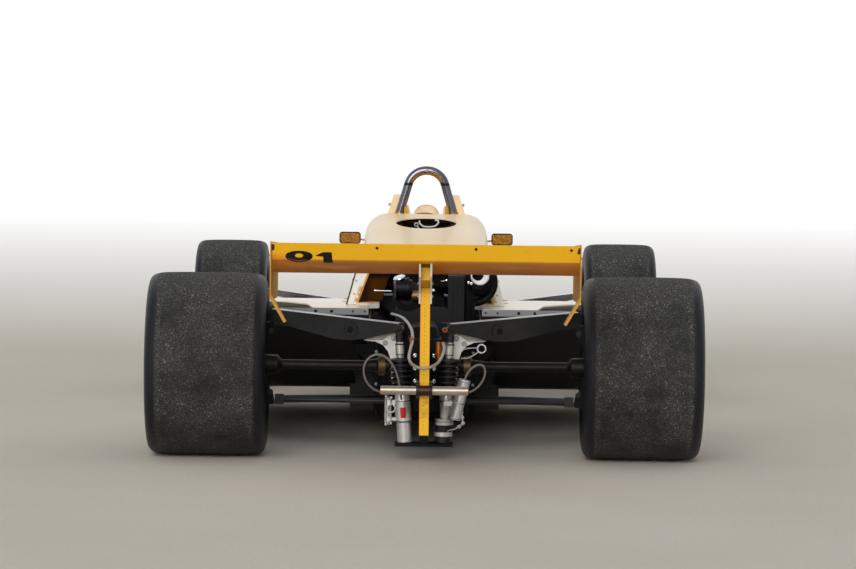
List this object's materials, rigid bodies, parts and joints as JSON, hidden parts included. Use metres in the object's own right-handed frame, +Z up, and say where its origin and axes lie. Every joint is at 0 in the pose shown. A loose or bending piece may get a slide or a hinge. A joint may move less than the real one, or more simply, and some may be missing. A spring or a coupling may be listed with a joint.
{
  "type": "open wheel racing car",
  "caption": "Single-seat open wheel racing car with slick tyres, ground-effect side pods, open rear engine bay and a rear wing on a central post.",
  "frame": {"origin": "on the ground below the middle of the car's length and width", "axes": "+Y forwards along the car, +X to the driver's right, +Z up"},
  "size_m": [1.994, 4.57, 1.003],
  "materials": {
    "cream": "gloss paint, worn",
    "yellow": "gloss paint, worn",
    "tyre": "worn slick",
    "magnesium": "satin",
    "steel": "satin",
    "black_steel": "satin",
    "silver": "machined",
    "chrome": "polished",
    "black_composite": "matte",
    "aluminium": "satin sheet",
    "cast": "cast",
    "screen": "clear",
    "trim": "matte",
    "pad": "matte",
    "hose": "braided"
  },
  "bodies": {
    "chassis": {"monocoque_tub": "aluminium", "cockpit_surround": "cream", "windscreen": "screen", "nose_cone": "cream", "engine_cover": "cream", "rear_wing": "yellow", "wing_post": "yellow", "jack_bar": "steel", "roll_hoop": "chrome", "seat": "trim", "headrest": "pad", "engine": "cast", "gearbox": "cast", "turbocharger": "black_steel", "engine_box": "black_steel", "hose_braided": "hose", "line_left": "hose", "line_right": "hose", "front_rocker_left": "chrome", "front_wishbone_left": "black_steel", "rear_upright_left": "cast", "rear_rocker_left": "black_steel", "rear_wishbone_left": "black_steel", "damper_left": "silver", "gearbox_plate_left": "silver", "sidepod_left": "cream", "tunnel_left": "black_composite", "radiator_left": "black_steel", "front_wing_left": "yellow", "endplate_left": "yellow", "mirror_left": "cream", "front_rocker_right": "chrome", "front_wishbone_right": "black_steel", "rear_upright_right": "cast", "rear_rocker_right": "black_steel", "rear_wishbone_right": "black_steel", "damper_right": "silver", "gearbox_plate_right": "silver", "sidepod_right": "cream", "tunnel_right": "black_composite", "radiator_right": "black_steel", "front_wing_right": "yellow", "endplate_right": "yellow", "mirror_right": "cream"},
    "knuckle_left": {"knuckle_left": "cast"},
    "wheel_front_left": {"wheel_front_left": "magnesium", "tyre_front_left": "tyre", "brake_disc_front_left": "steel"},
    "wheel_rear_left": {"wheel_rear_left": "magnesium", "tyre_rear_left": "tyre", "driveshaft_left": "steel"},
    "knuckle_right": {"knuckle_right": "cast"},
    "wheel_front_right": {"wheel_front_right": "magnesium", "tyre_front_right": "tyre", "brake_disc_front_right": "steel"},
    "wheel_rear_right": {"wheel_rear_right": "magnesium", "tyre_rear_right": "tyre", "driveshaft_right": "steel"},
    "steering_wheel": {"steering_wheel": "trim"},
    "steering_rack": {"steering_rack": "steel"}
  },
  "joints": [
    {"name": "steer_left", "type": "hinge", "parent": "chassis", "child": "knuckle_left", "pos_m": [-0.7, 1.285, 0.3125], "axis": [0, 0, 1], "range_deg": [-16, 16]},
    {"name": "spin_front_left", "type": "hinge", "parent": "knuckle_left", "child": "wheel_front_left", "pos_m": [-0.821, 1.285, 0.3125], "axis": [1, 0, 0], "continuous": true},
    {"name": "spin_rear_left", "type": "hinge", "parent": "chassis", "child": "wheel_rear_left", "pos_m": [-0.782, -1.435, 0.33], "axis": [1, 0, 0], "continuous": true},
    {"name": "steer_right", "type": "hinge", "parent": "chassis", "child": "knuckle_right", "pos_m": [0.7, 1.285, 0.3125], "axis": [0, 0, 1], "range_deg": [-16, 16]},
    {"name": "spin_front_right", "type": "hinge", "parent": "knuckle_right", "child": "wheel_front_right", "pos_m": [0.821, 1.285, 0.3125], "axis": [1, 0, 0], "continuous": true},
    {"name": "spin_rear_right", "type": "hinge", "parent": "chassis", "child": "wheel_rear_right", "pos_m": [0.782, -1.435, 0.33], "axis": [1, 0, 0], "continuous": true},
    {"name": "rack_slide", "type": "slide", "parent": "chassis", "child": "steering_rack", "axis": [-1, 0, 0], "range_m": [-0.034, 0.034]},
    {"name": "wheel_turn", "type": "hinge", "parent": "chassis", "child": "steering_wheel", "pos_m": [0, 0.47, 0.56], "axis": [0, -0.9511, 0.309], "range_deg": [-144, 144]}
  ],
  "couplings": [
    {"joint": "steer_right", "follows": "steer_left", "ratio": 1},
    {"joint": "rack_slide", "follows": "steer_left", "m_per_rad": 0.12},
    {"joint": "wheel_turn", "follows": "steer_left", "ratio": 9}
  ]
}
